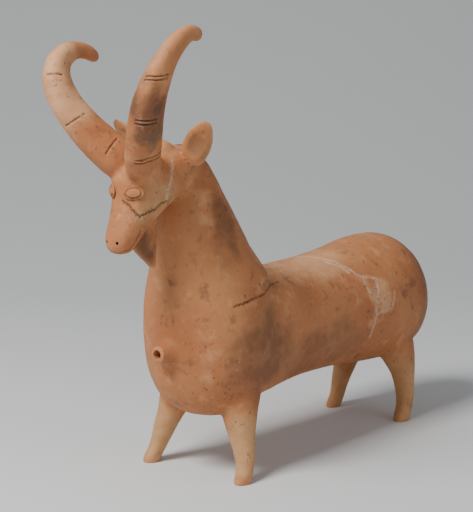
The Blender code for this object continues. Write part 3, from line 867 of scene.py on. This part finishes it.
def sweep():
    """A pale floor that curves up behind into a wall, with no line between them."""
    deselect()
    bpy.ops.mesh.primitive_plane_add(size=1)
    floor = bpy.context.object
    floor.name = "floor"
    floor.scale = (FLOOR_WIDTH, FLOOR_DEPTH, 1)
    floor.rotation_euler = Euler((0, 0, CAMERA_WAY.to_track_quat("-Z", "Y").to_euler().z))
    settle(floor)
    back = level_way()
    bpy.ops.object.mode_set(mode="EDIT")
    bpy.ops.mesh.select_all(action="DESELECT")
    bpy.ops.mesh.select_mode(type="EDGE")
    mesh = bmesh.from_edit_mesh(floor.data)
    for edge in mesh.edges:
        middle = (edge.verts[0].co + edge.verts[1].co) / 2
        edge.select = middle.normalized().dot(back) > 0.9
    bmesh.update_edit_mesh(floor.data)
    bpy.ops.mesh.extrude_edges_move(TRANSFORM_OT_translate={"value": Z * WALL_HEIGHT})
    bpy.ops.mesh.select_all(action="DESELECT")
    mesh = bmesh.from_edit_mesh(floor.data)
    for edge in mesh.edges:
        middle = (edge.verts[0].co + edge.verts[1].co) / 2
        edge.select = abs(middle.z) < 0.01 and middle.normalized().dot(back) > 0.9
    bmesh.update_edit_mesh(floor.data)
    bpy.ops.mesh.bevel(offset=SWEEP_RADIUS, segments=SWEEP_STEPS)
    bpy.ops.mesh.select_mode(type="VERT")
    bpy.ops.mesh.select_all(action="SELECT")
    bpy.ops.mesh.normals_make_consistent(inside=False)
    bpy.ops.object.mode_set(mode="OBJECT")
    bpy.ops.object.shade_smooth()
    return floor


def set_stage():
    floor = sweep()
    nodes = Nodes("studio floor")
    nodes.shader.inputs["Base Color"].default_value = (*bpy.context.scene.rhyton_colours.floor, 1)
    nodes.shader.inputs["Roughness"].default_value = 0.85
    floor.data.materials.append(nodes.material)
    world = bpy.data.worlds.new("studio")
    world.use_nodes = True
    background = world.node_tree.nodes["Background"]
    background.inputs["Color"].default_value = ROOM_LIGHT
    background.inputs["Strength"].default_value = ROOM_STRENGTH
    bpy.context.scene.world = world
    soft_light("key", KEY_STAND, KEY_POWER, KEY_WIDTH)
    soft_light("fill", FILL_STAND, FILL_POWER, FILL_WIDTH)
    deselect()
    bpy.ops.object.camera_add(location=CAMERA_PLACE, rotation=CAMERA_WAY.to_track_quat("-Z", "Y").to_euler())
    camera = bpy.context.object
    camera.data.lens = LENS
    camera.data.sensor_width = SENSOR_WIDTH
    bpy.context.scene.camera = camera


class RhytonColours(bpy.types.PropertyGroup):
    clay: FloatVectorProperty(name="Clay", description="The fired clay where it is plain",
                              subtype="COLOR", size=3, min=0, max=1, default=(0.5, 0.205, 0.078))
    warm_clay: FloatVectorProperty(name="Warm clay", description="Redder places of the clay",
                                   subtype="COLOR", size=3, min=0, max=1, default=(0.42, 0.145, 0.05))
    # Worn edges and the mended patch, and painted light on the far horn and on the top of the back
    pale_and_lit_clay: FloatVectorProperty(name="Pale clay", description="Worn edges, the paler horn and the patch",
                                   subtype="COLOR", size=3, min=0, max=1, default=(0.68, 0.36, 0.18))
    # Burnt places and dark speckle, and also painted shade on the near horn
    burnt_and_shaded: FloatVectorProperty(name="Burnt", description="Dark brown speckle and burnt places",
                               subtype="COLOR", size=3, min=0, max=1, default=(0.11, 0.045, 0.022))
    # Grey-green stain on the near horn, and painted shade on the near horn and the near ear
    soot_and_shade: FloatVectorProperty(name="Soot", description="Grey-green stain on the near horn",
                              subtype="COLOR", size=3, min=0, max=1, default=(0.1, 0.095, 0.06))
    straw: FloatVectorProperty(name="Straw", description="Yellowish places on the legs and cheeks",
                               subtype="COLOR", size=3, min=0, max=1, default=(0.55, 0.33, 0.15))
    chalk: FloatVectorProperty(name="Chalk", description="Creamy deposit in the mended joins",
                               subtype="COLOR", size=3, min=0, max=1, default=(0.72, 0.55, 0.4))
    # Painted shade in open cracks, scored lines, creases and hollows
    shaded_crack: FloatVectorProperty(name="Crack", description="The dark of open cracks and scored lines",
                               subtype="COLOR", size=3, min=0, max=1, default=(0.035, 0.015, 0.008))
    floor: FloatVectorProperty(name="Floor", description="The plain pale floor",
                               subtype="COLOR", size=3, min=0, max=1, default=(0.72, 0.72, 0.71))


class RhytonSizes(bpy.types.PropertyGroup):
    height: FloatProperty(name="Height", description="Undersides of the hooves to the top of the taller horn",
                          default=0.357, min=0.05, max=1, unit="LENGTH")
    wall: FloatProperty(name="Wall", description="Thickness of the vessel's wall",
                        default=0.005, min=0.002, max=0.01, unit="LENGTH")
    spout_bore: FloatProperty(name="Spout bore", description="Diameter of the hole through the spout",
                              default=0.0076, min=0.003, max=0.012, unit="LENGTH")
    spout_rim: FloatProperty(name="Spout rim", description="Width of clay round the spout's hole",
                             default=0.0026, min=0.001, max=0.006, unit="LENGTH")
    filling_bore: FloatProperty(name="Filling bore", description="Diameter of the mouth in the crown",
                                default=0.014, min=0.006, max=0.016, unit="LENGTH")
    ear_thickness: FloatProperty(name="Ear", description="Thickness of an ear",
                                 default=0.005, min=0.003, max=0.008, unit="LENGTH")
    nostril_bore: FloatProperty(name="Nostril", description="Diameter of a nostril",
                                default=0.0026, min=0.001, max=0.005, unit="LENGTH")
    lid_stroke: FloatProperty(name="Lid stroke", description="Width of the stroke drawn round the eye",
                              default=0.0015, min=0.0005, max=0.003, unit="LENGTH")
    mouth_width: FloatProperty(name="Mouth line", description="Width of the stroke between the lips",
                               default=0.0017, min=0.0005, max=0.003, unit="LENGTH")
    score_width: FloatProperty(name="Scored lines", description="Width of the lines drawn on the horns",
                               default=0.0011, min=0.0005, max=0.003, unit="LENGTH")
    crack_width: FloatProperty(name="Cracks", description="Width of the open cracks",
                               default=0.0011, min=0.0003, max=0.003, unit="LENGTH")
    mend_width: FloatProperty(name="Mended joins", description="Width of the mended joins",
                              default=0.0007, min=0.0003, max=0.003, unit="LENGTH")


class RHYTON_OT_vessel(bpy.types.Operator):
    """Models the whole vessel: body, neck, head, horns, ears, beard, legs and spout in one skin"""
    bl_idname = "rhyton.vessel"
    bl_label = "Ibex vessel"

    def execute(self, context):
        vessel = make_vessel()
        vessel.data.materials.clear()
        vessel.data.materials.append(terracotta())
        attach(vessel, "root")
        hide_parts("ibex_rhyton")
        return {"FINISHED"}


class RHYTON_OT_stage(bpy.types.Operator):
    """Sets the floor, the soft lights and the camera"""
    bl_idname = "rhyton.stage"
    bl_label = "Stage"

    def execute(self, context):
        set_stage()
        return {"FINISHED"}


class RHYTON_PT_panel(bpy.types.Panel):
    bl_idname = "RHYTON_PT_panel"
    bl_label = "Ibex rhyton"
    bl_space_type = "VIEW_3D"
    bl_region_type = "UI"
    bl_category = "Rhyton"

    def draw(self, context):
        for group in (context.scene.rhyton_sizes, context.scene.rhyton_colours):
            for name in type(group).__annotations__:
                self.layout.prop(group, name)
        for operator in OPERATORS:
            self.layout.operator(operator.bl_idname)


OPERATORS = (RHYTON_OT_vessel, RHYTON_OT_stage)
CLASSES = (RhytonSizes, RhytonColours, *OPERATORS, RHYTON_PT_panel)


def register():
    for kind in CLASSES:
        bpy.utils.register_class(kind)
    bpy.types.Scene.rhyton_sizes = PointerProperty(type=RhytonSizes)
    bpy.types.Scene.rhyton_colours = PointerProperty(type=RhytonColours)


def unregister():
    del bpy.types.Scene.rhyton_sizes
    del bpy.types.Scene.rhyton_colours
    for kind in reversed(CLASSES):
        bpy.utils.unregister_class(kind)


def main():
    register()
    bpy.ops.rhyton.vessel()
    bpy.ops.rhyton.stage()


if __name__ == "__main__":
    main()
